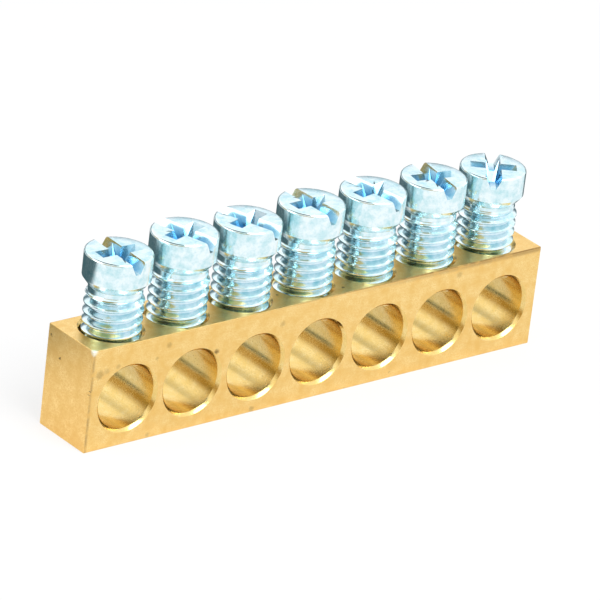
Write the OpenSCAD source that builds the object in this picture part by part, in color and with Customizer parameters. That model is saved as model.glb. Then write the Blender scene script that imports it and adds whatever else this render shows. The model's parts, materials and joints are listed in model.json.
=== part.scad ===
// Earth terminal bar: a sawn length of brass bar, drilled across for the conductors and
// tapped from above, so that one screw clamps the conductor in each hole.
// Millimetres, +Z up, origin at the middle of the underside, terminals along +X.

/* [Bar] */
// Number of terminals along the bar
terminals = 7; // [2:1:12]
// Spacing of the terminals
terminal_pitch = 6.5; // [6.2:0.1:9]
// Thickness of the bar, front to back
bar_depth = 6; // [5.6:0.1:9]
// From the middle of the end terminal to the sawn end
end_margin = 3.9; // [3.4:0.1:10]
// Break along the four long edges
edge_break = 0.15; // [0.05:0.05:0.3]

/* [Wire holes] */
// Bore of a wire hole
wire_hole_d = 5.5; // [4:0.1:5.6]
// Material left under the wire holes
floor_t = 1.35; // [1:0.05:4]
// Material left over the wire holes, which holds the thread
crown_t = 2.15; // [1.6:0.05:4]
// Countersink at both mouths of a wire hole
wire_hole_break = 0.25; // [0.05:0.05:0.3]

/* [Screw threads] */
// Outside diameter of the screw's thread
thread_d = 4.9; // [4:0.1:5]
// Thread pitch, which is also how far a screw moves in one turn
thread_pitch = 0.8; // [0.7:0.05:1]
// Play between the thread and its hole, on the radius
thread_play = 0.05; // [0.03:0.01:0.1]
// Countersink at the top of a screw hole
seat_break = 0.25; // [0.1:0.05:0.3]

/* [Screws] */
// Length of a screw under its head
shank_l = 6; // [5:0.1:7]
// Plain neck between the head and the first thread
neck_l = 0.5; // [0.3:0.1:1]
// Diameter of the head
head_d = 5.6; // [5.4:0.1:6]
// Full height of the head
head_h = 3; // [2.6:0.1:3.6]
// Height of the cone under the head
head_cone_h = 0.75; // [0.4:0.05:1]
// Rounding of the head's upper rim
rim_r = 0.2; // [0.1:0.05:0.4]
// Turns by which the screws stand out of their holes
turns_out = 5.2; // [2:0.1:6]

/* [Driver recess] */
// Width of the slot across the head, at its mouth
slot_w = 1.3; // [1:0.05:1.6]
// Width of the slot at its floor
slot_floor_w = 0.45; // [0.3:0.05:0.9]
// Depth of the slot
slot_depth = 0.95; // [0.6:0.05:1.4]
// Width of the cross's wings at their mouth
wing_w = 1.2; // [0.8:0.05:1.4]
// Width of the cross's wings at their lower edge
wing_floor_w = 0.6; // [0.4:0.05:0.8]
// Span of the cross from wing tip to wing tip
cross_d = 3.9; // [3.4:0.1:4.8]
// Depth of the cross
cross_depth = 1.9; // [1.5:0.1:2.1]

/* [Hidden] */
$fn = 64;
overcut = 0.1; // how far a cut runs past the face that it opens
bar_l = (terminals - 1) * terminal_pitch + 2 * end_margin;
bar_h = floor_t + wire_hole_d + crown_t;
wire_z = floor_t + wire_hole_d / 2;

// A rolled thread with 60 degree flanks and flat crests.
thread_depth = 0.61 * thread_pitch;
crest_w = thread_pitch / 8;
flank_w = thread_depth * tan(30);
thread_r = thread_d / 2;
root_r = thread_r - thread_depth;
neck_r = thread_r - thread_depth / 2;
ridges = floor((shank_l - neck_l) / thread_pitch);
tip_h = shank_l - neck_l - ridges * thread_pitch;
tip_r = root_r - tip_h / 2;
screw_hole_r = thread_r + thread_play;

// How each screw was left, in turns more or less than turns_out, and the way its slot
// points, in degrees from the bar's length. The lists start again after the last screw.
turns_more = [-0.45, 0.15, -0.1, 0.25, 0.1, 0.1, -0.3];
slot_angle = [88, 106, 110, 93, 100, 80, 52];

function terminal_x(i) = (i - (terminals - 1) / 2) * terminal_pitch;
function of_screw(list, i) = list[i % len(list)];
function head_z(i) = bar_h + (turns_out + of_screw(turns_more, i)) * thread_pitch;
function screw_name(i) = str("screw_", i + 1);

// The bar's section, with its long edges broken, drawn out to its full length.
module bar_blank() {
    b = edge_break;
    y = bar_depth / 2;
    rotate([90, 0, 90])
        linear_extrude(bar_l, center = true)
            polygon([
                [b - y, 0], [y - b, 0], [y, b], [y, bar_h - b],
                [y - b, bar_h], [b - y, bar_h], [-y, bar_h - b], [-y, b]
            ]);
}

// A bore of radius r along +Z from z = 0 to z = length, countersunk at its far mouth.
module countersunk_bore(r, length, sink) {
    cylinder(r = r, h = length + overcut);
    translate([0, 0, length - sink])
        cylinder(r1 = r, r2 = r + sink + overcut, h = sink + overcut);
}

// The hole right through the bar that a stripped conductor is pushed into.
module wire_hole() {
    for (turn = [90, -90])
        translate([0, 0, wire_z])
            rotate([turn, 0, 0])
                countersunk_bore(wire_hole_d / 2, bar_depth / 2, wire_hole_break);
}

// The tapped hole from the top of the bar down into the wire hole. Its wall stands at the
// thread's full diameter, so that the screw can be moved up and down in it.
module screw_hole() {
    translate([0, 0, wire_z])
        countersunk_bore(screw_hole_r, bar_h - wire_z, seat_break);
}

module bar() {
    color("goldenrod")
        difference() {
            bar_blank();
            for (i = [0 : terminals - 1])
                translate([terminal_x(i), 0, 0]) {
                    wire_hole();
                    screw_hole();
                }
        }
}

// Half outline of a screw, radius against height, with the head's underside at height 0.
module screw_outline() {
    head_r = head_d / 2;
    thread = [
        for (k = [ridges - 1 : -1 : 0])
            let (z = -neck_l - (k + 0.5) * thread_pitch, half_crest = crest_w / 2)
                each [
                    [root_r, z - half_crest - flank_w],
                    [thread_r, z - half_crest],
                    [thread_r, z + half_crest],
                    [root_r, z + half_crest + flank_w]
                ]
    ];
    polygon(concat(
        [[0, -shank_l], [tip_r, -shank_l], [root_r, tip_h - shank_l]],
        thread,
        [
            [root_r, -neck_l], [neck_r, thread_depth / 2 - neck_l], [neck_r, 0],
            [head_r, head_cone_h], [head_r, head_h - rim_r], [head_r - rim_r, head_h], [0, head_h]
        ]
    ));
    translate([head_r - rim_r, head_h - rim_r])
        circle(r = rim_r);
}

// A groove along X, open upwards at height 0, wider at its mouth than at its floor.
module tapered_groove(length, mouth_w, floor_w, depth) {
    grow = (mouth_w - floor_w) / 2 * overcut / depth;
    rotate([90, 0, 90])
        linear_extrude(length, center = true)
            polygon([
                [-floor_w / 2, -depth], [floor_w / 2, -depth],
                [mouth_w / 2 + grow, overcut], [-mouth_w / 2 - grow, overcut]
            ]);
}

// The recess for a flat or a cross-headed driver: a slot that runs out through the rim at
// both ends, over a cross whose wings rise towards their tips.
module driver_recess() {
    cone_floor_r = wing_floor_w / 2;
    cone_rise = (cross_d / 2 - cone_floor_r) / cross_depth * overcut;
    tapered_groove(head_d + 2 * overcut, slot_w, slot_floor_w, slot_depth);
    intersection() {
        for (turn = [0, 90])
            rotate([0, 0, turn])
                tapered_groove(cross_d + 2, wing_w, wing_floor_w, cross_depth);
        translate([0, 0, -cross_depth])
            cylinder(r1 = cone_floor_r, r2 = cross_d / 2 + cone_rise, h = cross_depth + overcut);
    }
}

// One clamping screw, standing in its hole as far out as it was left.
module screw(i) {
    translate([terminal_x(i), 0, head_z(i)])
        rotate([0, 0, of_screw(slot_angle, i)])
            color("lightsteelblue")
                difference() {
                    rotate_extrude()
                        screw_outline();
                    translate([0, 0, head_h])
                        driver_recess();
                }
}

bar();
for (i = [0 : terminals - 1])
    screw(i);
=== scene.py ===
import json
import math

import bmesh
import bpy
from mathutils import Matrix, Vector


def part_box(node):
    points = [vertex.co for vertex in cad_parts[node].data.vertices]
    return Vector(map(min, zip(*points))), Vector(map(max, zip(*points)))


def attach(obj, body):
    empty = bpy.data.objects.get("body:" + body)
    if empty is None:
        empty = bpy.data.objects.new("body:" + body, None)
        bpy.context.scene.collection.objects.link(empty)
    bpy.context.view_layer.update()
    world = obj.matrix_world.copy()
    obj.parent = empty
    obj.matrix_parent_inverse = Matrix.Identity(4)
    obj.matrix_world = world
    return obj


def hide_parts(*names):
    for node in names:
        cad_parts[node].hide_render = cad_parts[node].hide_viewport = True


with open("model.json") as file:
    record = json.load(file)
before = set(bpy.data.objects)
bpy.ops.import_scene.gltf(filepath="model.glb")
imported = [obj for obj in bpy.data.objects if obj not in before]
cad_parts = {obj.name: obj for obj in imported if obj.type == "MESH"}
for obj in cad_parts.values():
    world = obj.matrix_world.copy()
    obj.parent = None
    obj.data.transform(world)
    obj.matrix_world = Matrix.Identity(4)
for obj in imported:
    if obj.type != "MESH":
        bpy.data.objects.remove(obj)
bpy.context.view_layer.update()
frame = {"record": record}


# ---------------------------------------------------------------- the bar
# A length of brass sawn from a drawn bar, 6 by 9 mm. It is drilled across for each
# conductor and drilled and tapped from above, and each mouth is lightly countersunk.

MM = 0.001
scene = bpy.context.scene
bar_half_length, bar_half_depth, bar_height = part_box("bar")[1]
wire_holes = [mount for mount in frame["record"]["mounts"] if mount["kind"] == "clamp"]
wire_z = wire_holes[0]["pos_m"][2]
wire_r = wire_holes[0]["dims"]["r_mm"] * MM
terminals = [hole["pos_m"][0] for hole in wire_holes]
edge_round = 0.1 * MM
saw_burr = 0.04 * MM
mouth_sink = 0.25 * MM
mouth_soft = 0.05 * MM
screw_hole_r = 2.5 * MM
overcut = 1 * MM  # how far a cutter runs past the face that it opens
sides = 96  # flat sides of a turned form
corner_steps = 5


def arc(centre, radius, start, end, steps):
    """Points on an arc, both ends included; the angles are in degrees."""
    points = []
    for k in range(steps + 1):
        a = math.radians(start + (end - start) * k / steps)
        points.append((centre[0] + radius * math.cos(a), centre[1] + radius * math.sin(a)))
    return points


def object_from(bm, name):
    """A new object, linked to the scene, that holds the mesh in bm."""
    mesh = bpy.data.meshes.new(name)
    bmesh.ops.recalc_face_normals(bm, faces=bm.faces)
    bm.to_mesh(mesh)
    bm.free()
    piece = bpy.data.objects.new(name, mesh)
    scene.collection.objects.link(piece)
    return piece


def turned(profile, matrix, bm):
    """Adds to bm a closed turned form: (radius, height) points from axis to axis, about Z."""
    rings = []
    for radius, height in profile:
        if radius == 0:
            rings.append([bm.verts.new(matrix @ Vector((0, 0, height)))])
            continue
        ring = []
        for k in range(sides):
            a = 2 * math.pi * k / sides
            point = Vector((radius * math.cos(a), radius * math.sin(a), height))
            ring.append(bm.verts.new(matrix @ point))
        rings.append(ring)
    for lower, upper in zip(rings, rings[1:]):
        for k in range(sides):
            n = (k + 1) % sides
            around = [lower[k % len(lower)], lower[n % len(lower)],
                      upper[n % len(upper)], upper[k % len(upper)]]
            bm.faces.new(list(dict.fromkeys(around)))


def apply_modifiers(piece):
    """Makes the piece's mesh what its modifiers show, and removes them."""
    shown = piece.evaluated_get(bpy.context.evaluated_depsgraph_get())
    old = piece.data
    piece.data = bpy.data.meshes.new_from_object(shown)
    piece.modifiers.clear()
    bpy.data.meshes.remove(old)


def cut(piece, cutter):
    """Takes the cutter's form out of the piece and removes the cutter."""
    modifier = piece.modifiers.new("cut", "BOOLEAN")
    modifier.operation = "DIFFERENCE"
    modifier.solver = "EXACT"
    modifier.object = cutter
    apply_modifiers(piece)
    bpy.data.objects.remove(cutter)


def shade_smooth(piece, crease_degrees):
    """Smooth shading up to the crease angle, with flat faces kept flat."""
    bm = bmesh.new()
    bm.from_mesh(piece.data)
    for face in bm.faces:
        face.smooth = True
    for edge in bm.edges:
        edge.smooth = edge.calc_face_angle(0.0) < math.radians(crease_degrees)
    bm.to_mesh(piece.data)
    bm.free()
    weighted = piece.modifiers.new("flat faces stay flat", "WEIGHTED_NORMAL")
    weighted.keep_sharp = True


bm = bmesh.new()
middle_z = bar_height / 2
section = []
for corner_y, corner_z, start in ((1, 1, 0), (-1, 1, 90), (-1, -1, 180), (1, -1, 270)):
    centre = (
        corner_y * (bar_half_depth - edge_round),
        middle_z + corner_z * (middle_z - edge_round),
    )
    section += arc(centre, edge_round, start, start + 90, corner_steps)
loops = []
for x, inset in (
    (-bar_half_length, saw_burr),
    (-bar_half_length + saw_burr, 0),
    (bar_half_length - saw_burr, 0),
    (bar_half_length, saw_burr),
):
    shrink_y = 1 - inset / bar_half_depth
    shrink_z = 1 - inset / middle_z
    loops.append([
        bm.verts.new((x, y * shrink_y, middle_z + (z - middle_z) * shrink_z))
        for y, z in section
    ])
for first, second in zip(loops, loops[1:]):
    for k in range(len(section)):
        n = (k + 1) % len(section)
        bm.faces.new((first[k], first[n], second[n], second[k]))
bm.faces.new(loops[0])
bm.faces.new(loops[-1])
bar = object_from(bm, "brass_bar")

half_wire_cutter = [
    (0, bar_half_depth + overcut),
    (wire_r + mouth_sink + overcut, bar_half_depth + overcut),
    (wire_r + mouth_sink, bar_half_depth),
    (wire_r + mouth_soft, bar_half_depth - mouth_sink + mouth_soft),
    (wire_r, bar_half_depth - mouth_sink - mouth_soft),
]
wire_cutter_profile = [(radius, -height) for radius, height in half_wire_cutter] + half_wire_cutter[::-1]
along_hole = Matrix.Rotation(math.pi / 2, 4, "X")
bm = bmesh.new()
for x in terminals:
    turned(wire_cutter_profile, Matrix.Translation((x, 0, wire_z)) @ along_hole, bm)
cut(bar, object_from(bm, "wire_hole_cutter"))

screw_cutter_profile = [
    (0, wire_z),
    (screw_hole_r, wire_z),
    (screw_hole_r, bar_height - mouth_sink),
    (screw_hole_r + mouth_sink, bar_height),
    (screw_hole_r + mouth_sink + overcut, bar_height + overcut),
    (0, bar_height + overcut),
]
bm = bmesh.new()
for x in terminals:
    turned(screw_cutter_profile, Matrix.Translation((x, 0, 0)), bm)
cut(bar, object_from(bm, "screw_hole_cutter"))
shade_smooth(bar, crease_degrees=25)


# The effects that the finishes share: grain and patches in the skin, parallel tool marks,
# scattered specks, and stains that each have a place of their own.

def new_group(name, inputs, outputs):
    """An empty node group with float inputs {name: value} and outputs [name]."""
    group = bpy.data.node_groups.new(name, "ShaderNodeTree")
    for socket, value in inputs.items():
        made = group.interface.new_socket(socket, in_out="INPUT", socket_type="NodeSocketFloat")
        made.default_value = value
    for socket in outputs:
        group.interface.new_socket(socket, in_out="OUTPUT", socket_type="NodeSocketFloat")
    group.nodes.new("NodeGroupInput")
    group.nodes.new("NodeGroupOutput")
    return group


def add(tree, kind, values=None, **settings):
    """A new node with its settings, and socket values or links given by socket name or index."""
    node = tree.nodes.new("ShaderNode" + kind)
    for key, value in settings.items():
        setattr(node, key, value)
    for key, value in (values or {}).items():
        if isinstance(value, bpy.types.NodeSocket):
            tree.links.new(value, node.inputs[key])
        else:
            node.inputs[key].default_value = value
    return node


def ramp(tree, value, low, high, to_low=0.0, to_high=1.0):
    """value stretched so that low gives to_low and high gives to_high."""
    node = add(tree, "MapRange", {
        "Value": value, "From Min": low, "From Max": high, "To Min": to_low, "To Max": to_high})
    return node.outputs["Result"]


def product(tree, factors):
    """All the factors multiplied together."""
    result = factors[0]
    for factor in factors[1:]:
        result = add(tree, "Math", {0: result, 1: factor}, operation="MULTIPLY").outputs[0]
    return result


def ends(group):
    """The sockets inside a group that carry its inputs and its outputs."""
    inside = next(n for n in group.nodes if n.type == "GROUP_INPUT").outputs
    outside = next(n for n in group.nodes if n.type == "GROUP_OUTPUT").inputs
    return inside, outside


grain_inputs = {"Grains per metre": 9000.0, "Patches per metre": 900.0}
grain_group = new_group("metal grain", grain_inputs, ["Grain", "Patches"])
given, result = ends(grain_group)
place = add(grain_group, "TexCoord").outputs["Object"]
grain = add(grain_group, "TexNoise", {
    "Vector": place, "Scale": given["Grains per metre"], "Detail": 3.0, "Roughness": 0.6})
patches = add(grain_group, "TexNoise", {
    "Vector": place, "Scale": given["Patches per metre"], "Detail": 4.0, "Roughness": 0.6})
grain_group.links.new(grain.outputs["Fac"], result["Grain"])
grain_group.links.new(patches.outputs["Fac"], result["Patches"])

marks_inputs = {"Per metre X": 100.0, "Per metre Y": 9000.0, "Per metre Z": 9000.0}
marks_group = new_group("parallel marks", marks_inputs, ["Marks"])
given, result = ends(marks_group)
place = add(marks_group, "TexCoord").outputs["Object"]
spacing = add(marks_group, "CombineXYZ", {k: given[f"Per metre {k}"] for k in "XYZ"}).outputs[0]
stretched = add(marks_group, "VectorMath", {0: place, 1: spacing}, operation="MULTIPLY").outputs[0]
marks = add(marks_group, "TexNoise", {
    "Vector": stretched, "Scale": 1.0, "Detail": 3.0, "Roughness": 0.65})
marks_group.links.new(marks.outputs["Fac"], result["Marks"])


def wobbled(group, place):
    """The place moved about by up to 0.2 mm, so that round marks get uneven edges."""
    noise = add(group, "TexNoise", {"Vector": place, "Scale": 6000.0, "Detail": 2.0}).outputs["Color"]
    shift = add(group, "VectorMath", {0: noise, 1: (0.5, 0.5, 0.5)}, operation="SUBTRACT").outputs[0]
    spread = add(group, "VectorMath", {0: shift, "Scale": 0.4 * MM}, operation="SCALE").outputs[0]
    return add(group, "VectorMath", {0: place, 1: spread}).outputs[0]


speck_inputs = {"Specks per metre": 700.0, "Share": 0.08, "Size": 0.12}
speck_group = new_group("specks", speck_inputs, ["Specks"])
given, result = ends(speck_group)
moved = wobbled(speck_group, add(speck_group, "TexCoord").outputs["Object"])
cells = add(speck_group, "TexVoronoi", {
    "Vector": moved, "Scale": given["Specks per metre"], "Randomness": 1.0}).outputs
pick = add(speck_group, "SeparateColor", {0: cells["Color"]}).outputs
own_size = product(speck_group, [pick[1], given["Size"]])
inside = add(speck_group, "Math", {0: own_size, 1: cells["Distance"]}, operation="SUBTRACT").outputs[0]
near = ramp(speck_group, inside, -0.01, 0.03)
chosen = add(speck_group, "Math", {0: pick[0], 1: given["Share"]}, operation="LESS_THAN").outputs[0]
kept = product(speck_group, [near, chosen])
speck_group.links.new(kept, result["Specks"])

stain_inputs = {"X": 0.0, "Y": 0.0, "Z": 0.0, "Radius": 0.2 * MM, "Strength": 0.5}
stain_group = new_group("stain", stain_inputs, ["Stain"])
given, result = ends(stain_group)
moved = wobbled(stain_group, add(stain_group, "TexCoord").outputs["Object"])
spot = add(stain_group, "CombineXYZ", {k: given[k] for k in "XYZ"}).outputs[0]
away = add(stain_group, "VectorMath", {0: moved, 1: spot}, operation="DISTANCE").outputs["Value"]
share = add(stain_group, "Math", {0: away, 1: given["Radius"]}, operation="DIVIDE").outputs[0]
inside = ramp(stain_group, share, 1.2, 0.5)
held = product(stain_group, [inside, given["Strength"]])
stain_group.links.new(held, result["Stain"])


def new_metal(name):
    """A metal's material, its node tree and its shader, with nothing on the shader yet."""
    material = bpy.data.materials.new(name)
    material.use_nodes = True
    shader = material.node_tree.nodes["Principled BSDF"]
    shader.inputs["Metallic"].default_value = 1.0
    return material, material.node_tree, shader


def place_group(tree, group, values=None):
    """A group node in the tree with its own values."""
    node = tree.nodes.new("ShaderNodeGroup")
    node.node_tree = group
    for key, value in (values or {}).items():
        node.inputs[key].default_value = value
    return node


def mix(tree, factor, first, second):
    """A colour between first and second."""
    node = add(tree, "Mix", data_type="RGBA")
    for key, value in (("Factor", factor), ("A", first), ("B", second)):
        socket = next(s for s in node.inputs if s.name == key and s.enabled)
        if isinstance(value, bpy.types.NodeSocket):
            tree.links.new(value, socket)
        else:
            socket.default_value = value
    return next(s for s in node.outputs if s.enabled)


pale_brass = (0.98, 0.74, 0.33, 1)
deep_brass = (0.86, 0.55, 0.17, 1)
pale_sawn = (0.99, 0.71, 0.29, 1)
deep_sawn = (0.85, 0.53, 0.16, 1)
# the drilled tones are greyer than the drawn brass: partly the bore's own finish, partly a painted
# reflection of pale light in the bores
pale_drilled = (0.89, 0.70, 0.325, 1)
deep_drilled = (0.81, 0.57, 0.185, 1)
tarnish = (0.26, 0.17, 0.06, 1)
dark_edge_brown = (0.34, 0.20, 0.07, 1)
painted_corner_highlight = (1.0, 0.93, 0.72, 1)
stains = [  # on the front face: x, z and radius in mm, and strength
    (-10.84, 6.38, 0.26, 0.9),
    (-22.57, 6.80, 0.40, 0.4),
    (-21.90, 6.98, 0.30, 0.25),
    (-20.80, 7.19, 0.24, 0.25),
    (-16.89, 7.07, 0.20, 0.3),
    (-15.79, 8.02, 0.28, 0.35),
    (-4.13, 7.50, 0.28, 0.3),
    (14.53, 8.18, 0.32, 0.3),
    (-6.45, 0.30, 0.28, 0.4),
    (-17.08, 0.30, 0.24, 0.3),
]
speck_kinds = [(500, 0.05, 0.20), (1500, 0.05, 0.26)]  # cells per metre, share, size in a cell


def dark_edges_and_painted_highlight(tree, colour, patches):
    """The colour with the top front edge darker brown, most at the right, and the left front edge darker
    brown in places. A painted highlight lightens the corner where they meet."""
    place = add(tree, "TexCoord").outputs["Object"]
    facing = add(tree, "SeparateXYZ", {0: add(tree, "NewGeometry").outputs["Normal"]}).outputs
    round_over = product(tree, [facing["Y"], facing["Z"]])
    along = add(tree, "SeparateXYZ", {0: place}).outputs
    broken = ramp(tree, patches, 0.30, 0.50, 0.4, 1.0)
    # darker brown along the top front edge, in a band below it towards the right, and in places on the
    # left edge
    top_edge = [
        ramp(tree, round_over, -0.05, -0.30),
        ramp(tree, along["Z"], bar_height - 1 * MM, bar_height - 0.5 * MM),
        ramp(tree, along["X"], -10 * MM, 12 * MM, 0.3, 1.0),
    ]
    band_below = [
        ramp(tree, along["Z"], bar_height - 0.5 * MM, bar_height - 0.25 * MM),
        ramp(tree, facing["Y"], -0.6, -0.9),
        ramp(tree, along["X"], 3 * MM, 17 * MM, 0.0, 0.6),
    ]
    left_edge = [
        ramp(tree, along["X"], 0.3 * MM - bar_half_length, 0.12 * MM - bar_half_length),
        ramp(tree, facing["Y"], -0.5, -0.8),
        ramp(tree, patches, 0.3, 0.6, 0.2, 0.6),
    ]
    for masks in (top_edge, band_below, left_edge):
        colour = mix(tree, product(tree, [broken] + masks), colour, dark_edge_brown)
    # painted highlight: a pale spot on the corner stands in for the light that it catches
    corner = (-bar_half_length, -bar_half_depth, bar_height)
    away = add(tree, "VectorMath", {0: place, 1: corner}, operation="DISTANCE").outputs["Value"]
    return mix(tree, ramp(tree, away, 0.25 * MM, 0.5 * MM, 1.0, 0.0), colour, painted_corner_highlight)


def brass_finish(name, pale, deep, roughness, relief, marks, outside):
    """Brass with grain, patches of tone and marks (per metre along X, Y, Z). Outside faces also get
    specks, stains, darker brown edges and a painted highlight on one corner."""
    material, tree, shader = new_metal(name)
    surface = place_group(tree, grain_group, {"Grains per metre": 9000.0, "Patches per metre": 1100.0})
    per_metre = {f"Per metre {axis}": count for axis, count in zip("XYZ", marks)}
    lines = place_group(tree, marks_group, per_metre).outputs["Marks"]
    grain, patches = surface.outputs["Grain"], surface.outputs["Patches"]
    colour = mix(tree, ramp(tree, patches, 0.32, 0.68), deep, pale)
    colour = mix(tree, ramp(tree, grain, 0.44, 0.60, 0.0, 0.85), colour, deep)
    colour = mix(tree, ramp(tree, lines, 0.50, 0.72, 0.0, 0.5), colour, deep)
    if outside:
        for spacing, share, size in speck_kinds:
            values = {"Specks per metre": spacing, "Share": share, "Size": size}
            specks = place_group(tree, speck_group, values).outputs["Specks"]
            colour = mix(tree, specks, colour, tarnish)
        for x, z, radius, strength in stains:
            values = {"X": x * MM, "Y": -bar_half_depth, "Z": z * MM,
                      "Radius": radius * MM, "Strength": strength}
            stain = place_group(tree, stain_group, values).outputs["Stain"]
            colour = mix(tree, stain, colour, tarnish)
        colour = dark_edges_and_painted_highlight(tree, colour, patches)
    tree.links.new(colour, shader.inputs["Base Color"])
    gloss_change = 0.07
    dull = ramp(tree, grain, 0.3, 0.7, roughness - gloss_change, roughness + gloss_change)
    tree.links.new(dull, shader.inputs["Roughness"])
    rough = add(tree, "Math", {0: grain, 1: lines}, operation="ADD").outputs[0]
    bump = add(tree, "Bump", {"Height": rough, "Strength": 1.0, "Distance": relief})
    tree.links.new(bump.outputs["Normal"], shader.inputs["Normal"])
    return material


bar.data.materials.append(brass_finish(
    "drawn brass", pale_brass, deep_brass,
    roughness=0.34, relief=0.006 * MM, marks=(150.0, 7000.0, 7000.0), outside=True))
bar.data.materials.append(brass_finish(
    "sawn brass", pale_sawn, deep_sawn,
    roughness=0.38, relief=0.008 * MM, marks=(900.0, 900.0, 6000.0), outside=True))
bar.data.materials.append(brass_finish(
    "drilled brass", pale_drilled, deep_drilled,
    roughness=0.23, relief=0.003 * MM, marks=(2500.0, 300.0, 2500.0), outside=False))
sawn_finish, drilled_finish = 1, 2  # their places in the bar's list of materials
squarely = 0.9  # share of a face's normal that makes it face along an axis
for face in bar.data.polygons:
    centre = face.center
    nearest = min(terminals, key=lambda x: abs(x - centre.x))
    across = math.hypot(centre.x - nearest, centre.z - wire_z)
    down = math.hypot(centre.x - nearest, centre.y)
    in_wire_hole = across < wire_r + mouth_sink and abs(face.normal.y) < squarely
    in_screw_hole = (down < screw_hole_r + mouth_sink and abs(face.normal.z) < squarely
                     and centre.z > wire_z and abs(centre.y) < bar_half_depth - mouth_sink)
    if abs(face.normal.x) > squarely and abs(centre.x) > bar_half_length - saw_burr:
        face.material_index = sawn_finish
    elif in_wire_hole or in_screw_hole:
        face.material_index = drilled_finish

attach(bar, "bar")
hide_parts("bar")


# ---------------------------------------------------------------- the screws
# One screw over each wire hole, cold-formed from steel wire in one piece, with a rolled
# M5 thread and bright zinc plating. The head has a slot and a cross for either driver.

thread_r = 2.45 * MM
thread_pitch = 0.8 * MM
thread_depth = 0.61 * thread_pitch
shank_length = 6.0 * MM
neck_length = 0.5 * MM
thread_top = -0.4 * neck_length
neck_r = thread_r - thread_depth / 2
tip_r = 1.75 * MM
head_r = 2.8 * MM
head_height = 3.0 * MM
neck_rise = 0.05 * MM
cone_height = 0.75 * MM
lip_inset = 0.1 * MM  # a small lip rounds the cone into the side of the head
lip_below = 0.05 * MM
lip_above = 0.08 * MM
rim_round = 0.2 * MM
slot_widths = (1.3 * MM, 0.45 * MM)  # at the mouth and at the floor
slot_depth = 0.95 * MM
wing_widths = (1.2 * MM, 0.6 * MM)
cross_span = 3.9 * MM
cross_depth = 1.9 * MM
recess_rise = 0.2 * MM  # how far the recess cutters stand above the head
slot_angles = [88, 106, 110, 93, 100, 80, 52]  # where the driver left each screw, in degrees
facets = 80


def thread_radius(phase):
    """Radius of the rolled thread where phase runs from 0 to 1 over one pitch."""
    root = thread_r - thread_depth
    crest_half = 1 / 16
    rounding = 0.3
    flank = thread_depth * math.tan(math.radians(30)) / thread_pitch
    away = abs(phase - 0.5)
    height = min(max((crest_half + flank - away) / flank, 0.0), 1.0)
    eased = height * height * (3 - 2 * height)
    return root + thread_depth * (eased * rounding + height * (1 - rounding))


def threaded_shank(bm):
    """The shank under the head, from the tip to the neck, with its right-hand thread."""
    phases = [0.0, 0.1, 0.17, 0.24, 0.31, 0.38, 0.44, 0.5, 0.56, 0.62, 0.69, 0.76, 0.83, 0.9]
    periods = math.ceil(shank_length / thread_pitch) + 2
    touching = 0.002 * MM
    bottom = -shank_length
    run_out = 0.9 * thread_pitch
    chamfer_rise = 0.75 * MM
    rows = []
    for period in range(-1, periods):
        for phase in phases:
            row = []
            for k in range(facets):
                z = bottom + (period + phase + k / facets) * thread_pitch
                held = min(max(z, bottom), thread_top)
                fade = min(max((thread_top - held) / run_out, 0.0), 1.0)
                threaded = neck_r + (thread_radius(phase) - neck_r) * fade
                chamfer = tip_r + (held - bottom) * (thread_r - tip_r) / chamfer_rise
                radius = min(threaded, chamfer)
                turn = 2 * math.pi * k / facets
                row.append(bm.verts.new((radius * math.cos(turn), radius * math.sin(turn), held)))
            rows.append(row)
    for m in range(len(rows) - 1):
        for k in range(facets - 1):
            bm.faces.new((rows[m][k], rows[m][k + 1], rows[m + 1][k + 1], rows[m + 1][k]))
        ahead = m + len(phases)
        if ahead + 1 < len(rows):
            bm.faces.new((rows[ahead][0], rows[ahead + 1][0], rows[m + 1][-1], rows[m][-1]))
    bmesh.ops.remove_doubles(bm, verts=bm.verts, dist=touching)
    bmesh.ops.dissolve_degenerate(bm, edges=bm.edges, dist=touching)
    loose = [edge for edge in bm.edges if len(edge.link_faces) == 1]
    bmesh.ops.holes_fill(bm, edges=loose, sides=0)


def recess_cutter(half_length, floor_half_length, widths, depth, turn):
    """A tapered bar that stands above the head, for cutting one arm of the driver recess.
    Its lengths and widths are those at the head's top and at the recess floor."""
    bm = bmesh.new()
    grow = 1 + recess_rise / depth
    mouth_width, floor_width = widths
    corners = []
    for z, along, across in (
        (head_height - depth, floor_half_length, floor_width / 2),
        (head_height + recess_rise, floor_half_length + (half_length - floor_half_length) * grow,
         floor_width / 2 + (mouth_width - floor_width) / 2 * grow),
    ):
        corners.append([
            bm.verts.new(Matrix.Rotation(turn, 3, "Z") @ Vector((sx * along, sy * across, z)))
            for sx, sy in ((-1, -1), (1, -1), (1, 1), (-1, 1))
        ])
    for k in range(4):
        n = (k + 1) % 4
        bm.faces.new((corners[0][k], corners[0][n], corners[1][n], corners[1][k]))
    bm.faces.new(corners[0][::-1])
    bm.faces.new(corners[1])
    return object_from(bm, "recess_cutter")


inner_ring = 0.6 * head_r  # a ring of points in the head's flat top
head_profile = [
    (0, -neck_length),
    (neck_r, -neck_length),
    (neck_r, neck_rise),
    (head_r - lip_inset, cone_height - lip_below),
    (head_r, cone_height + lip_above),
]
head_profile += arc((head_r - rim_round, head_height - rim_round), rim_round, 0, 90, corner_steps)
head_profile += [(inner_ring, head_height), (0, head_height)]
bm = bmesh.new()
turned(head_profile, Matrix.Identity(4), bm)
head = object_from(bm, "screw_head")
cut(head, recess_cutter(head_r + overcut, head_r + overcut, slot_widths, slot_depth, turn=0))
for turn in (0, math.pi / 2):
    cut(head, recess_cutter(cross_span / 2, wing_widths[1] / 2, wing_widths, cross_depth, turn))
soften = head.modifiers.new("formed edges", "BEVEL")
soften.width = 0.05 * MM
soften.segments = 2
soften.limit_method = "ANGLE"
soften.angle_limit = math.radians(28)
apply_modifiers(head)

bm = bmesh.new()
threaded_shank(bm)
shank = object_from(bm, "screw_shank")

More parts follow.
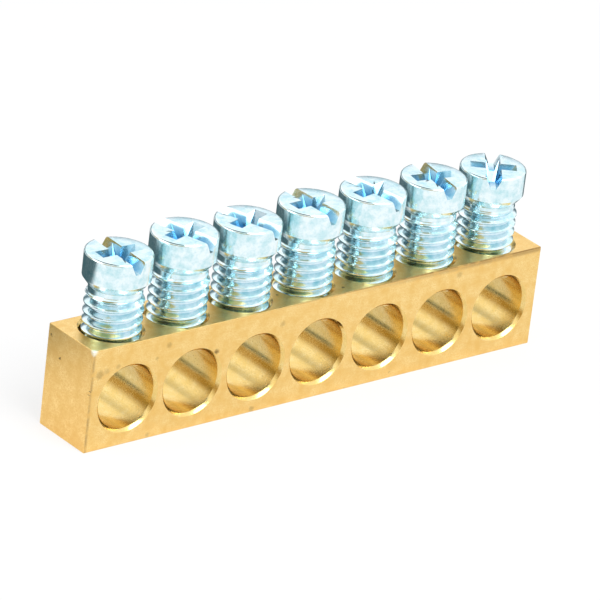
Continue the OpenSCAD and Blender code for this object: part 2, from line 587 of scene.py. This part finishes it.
pale_zinc = (0.84, 0.95, 0.975, 1)
blue_zinc = (0.50, 0.77, 0.82, 1)
shaded_zinc = (0.16, 0.42, 0.64, 1)
zinc_plating, tree, shader = new_metal("zinc plating")
surface = place_group(tree, grain_group, {"Grains per metre": 7000.0, "Patches per metre": 1300.0})
grain, patches = surface.outputs["Grain"], surface.outputs["Patches"]
colour = mix(tree, ramp(tree, patches, 0.30, 0.60), blue_zinc, pale_zinc)
# painted shade: the plating is darkened in the thread's valleys, a little on the head's top and fully in
# the recess
painted_shade = add(tree, "Attribute", attribute_name="painted_shade").outputs["Fac"]
colour = mix(tree, painted_shade, colour, shaded_zinc)
tree.links.new(colour, shader.inputs["Base Color"])
tree.links.new(ramp(tree, grain, 0.3, 0.7, 0.12, 0.22), shader.inputs["Roughness"])
relief = add(tree, "Bump", {"Height": patches, "Strength": 1.0, "Distance": 0.005 * MM})
tree.links.new(relief.outputs["Normal"], shader.inputs["Normal"])


def mark_painted_shade(bm):
    """Marks on each point how much painted shade its plating gets: a little in the thread's valleys, a
    little on the head's flat top, and fully 0.4 mm down in the recess."""
    valley_shade_share = 0.22
    fade = 0.5 * MM
    fade_top = head_height + 0.1 * MM
    flat_top_r = head_r - rim_round + 0.02 * MM
    mark = bm.verts.layers.float.new("painted_shade")
    for vert in bm.verts:
        radius = math.hypot(vert.co.x, vert.co.y)
        if vert.co.z < thread_top:
            vert[mark] = min(max((thread_r - radius) / thread_depth, 0.0), 1.0) * valley_shade_share
        elif vert.co.z > cone_height and radius < flat_top_r:
            vert[mark] = min(max((fade_top - vert.co.z) / fade, 0.0), 1.0)


for number, (x, angle) in enumerate(zip(terminals, slot_angles), 1):
    node = f"screw_{number}"
    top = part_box(node)[1].z
    turned_by = Matrix.Rotation(math.radians(angle), 4, "Z")
    where = Matrix.Translation((x, 0, top - head_height)) @ turned_by
    bm = bmesh.new()
    for part in (head, shank):
        bm.from_mesh(part.data)
    mark_painted_shade(bm)
    bmesh.ops.transform(bm, matrix=where, verts=bm.verts)
    screw = object_from(bm, f"clamping_screw_{number}")
    shade_smooth(screw, crease_degrees=40)
    screw.data.materials.append(zinc_plating)
    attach(screw, node)
    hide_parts(node)
bpy.data.objects.remove(head)
bpy.data.objects.remove(shank)


# ---------------------------------------------------------------- the studio
# A plain white table under soft white light from above in front and from the left, seen by a camera in
# front and to the left. Only the metal's reflections see a strip of painted shade on the table behind
# the bar, and a room with a dark ceiling, a dark skirting and a brown corner.

white = (1, 1, 1, 1)
reflected_shade_strip = (0.08, 0.13, 0.14, 1)
table_paint = bpy.data.materials.new("white table")
table_paint.use_nodes = True
tree = table_paint.node_tree
tree.nodes.remove(tree.nodes["Principled BSDF"])
path = add(tree, "LightPath").outputs
spot = add(tree, "SeparateXYZ", {0: add(tree, "TexCoord").outputs["Object"]}).outputs
# painted shade that only the metal's reflections see: the table is darkened behind the bar, and close
# behind it for longer rays
behind = ramp(tree, spot["Y"], 11 * MM, 19 * MM)
close_behind = product(tree, [
    ramp(tree, spot["Y"], 4 * MM, 9 * MM),
    ramp(tree, spot["X"], -27 * MM, -21 * MM),
    ramp(tree, path["Ray Length"], 17 * MM, 21 * MM),
])
strip = product(tree, [
    add(tree, "Math", {0: behind, 1: close_behind}, operation="MAXIMUM").outputs[0],
    ramp(tree, spot["Y"], 45 * MM, 80 * MM, 1.0, 0.0),
    path["Is Glossy Ray"],
])
tone = mix(tree, strip, white, reflected_shade_strip)
seen_glow, mirrored_glow = 0.75, 0.6  # how much of the table's light is its own
own_light = add(tree, "Math", {
    0: product(tree, [path["Is Camera Ray"], seen_glow]),
    1: product(tree, [path["Is Glossy Ray"], mirrored_glow]),
}, operation="MAXIMUM").outputs[0]
paint = add(tree, "BsdfDiffuse", {"Color": tone}).outputs[0]
glow = add(tree, "Emission", {"Color": tone, "Strength": 1.0}).outputs[0]
surface = add(tree, "MixShader", {0: own_light, 1: paint, 2: glow}).outputs[0]
tree.links.new(surface, tree.nodes["Material Output"].inputs["Surface"])
bm = bmesh.new()
bmesh.ops.create_grid(bm, x_segments=1, y_segments=1, size=3.0)
table = object_from(bm, "table")
table.data.materials.append(table_paint)

dark_ceiling = (0.04, 0.08, 0.09, 1)
bright_wall = (1.26, 1.26, 1.26, 1)
dark_skirting = (0.16, 0.21, 0.23, 1)
brown_corner = (0.46, 0.30, 0.07, 1)
even_light = (0.55, 0.56, 0.58, 1)  # what every ray but the camera's and a reflection's sees
world = bpy.data.worlds.new("studio")
scene.world = world
world.use_nodes = True
tree = world.node_tree
path = add(tree, "LightPath").outputs
direction = add(tree, "TexCoord").outputs["Generated"]
toward = add(tree, "SeparateXYZ", {0: direction}).outputs
right_side = ramp(tree, toward["X"], -0.12, 0.06)
low_wall = ramp(tree, toward["Z"], 0.66, 0.84, 1.0, 0.0)
wall = add(tree, "Math", {0: right_side, 1: low_wall}, operation="MAXIMUM").outputs[0]
skirting = product(tree, [
    ramp(tree, toward["Z"], 0.22, 0.34, 1.0, 0.0),
    ramp(tree, toward["Y"], 0.20, 0.40),
])
low_left = product(tree, [
    ramp(tree, toward["Z"], 0.25, 0.50, 1.0, 0.0),
    ramp(tree, toward["X"], -0.35, -0.50),
])
room = mix(tree, wall, dark_ceiling, bright_wall)
room = mix(tree, skirting, room, dark_skirting)
room = mix(tree, low_left, room, brown_corner)
around = mix(tree, path["Is Glossy Ray"], even_light, room)
around = mix(tree, path["Is Camera Ray"], around, white)
tree.links.new(around, tree.nodes["Background"].inputs["Color"])


def soft_light(name, direction, distance, size, power):
    """A round soft lamp that faces the bar from the given direction."""
    data = bpy.data.lights.new(name, "AREA")
    data.shape = "DISK"
    data.size = size
    data.energy = power
    lamp = bpy.data.objects.new(name, data)
    lamp.location = Vector(direction).normalized() * distance
    lamp.rotation_euler = Vector(direction).to_track_quat("Z", "Y").to_euler()
    scene.collection.objects.link(lamp)


soft_light("key light", (0.0, -0.55, 0.83), distance=0.6, size=0.4, power=2.3)
soft_light("fill light", (-1.0, 0.3, 0.3), distance=0.6, size=0.4, power=0.9)

camera_data = bpy.data.cameras.new("camera")
camera_data.lens = 330
camera_data.clip_start = 0.05
camera = bpy.data.objects.new("camera", camera_data)
azimuth = math.radians(-41.3)
elevation = math.radians(24.75)
roll = math.radians(6.94)
distance = 450 * MM
aim = Vector((0, 0, 7.5 * MM))
back = Vector((
    math.sin(azimuth) * math.cos(elevation),
    -math.cos(azimuth) * math.cos(elevation),
    math.sin(elevation),
))
upright = back.to_track_quat("Z", "Y").to_matrix()
camera.location = aim + back * distance
camera.rotation_euler = (upright @ Matrix.Rotation(roll, 3, "Z")).to_euler()
scene.collection.objects.link(camera)
scene.camera = camera
scene.view_settings.view_transform = "Standard"
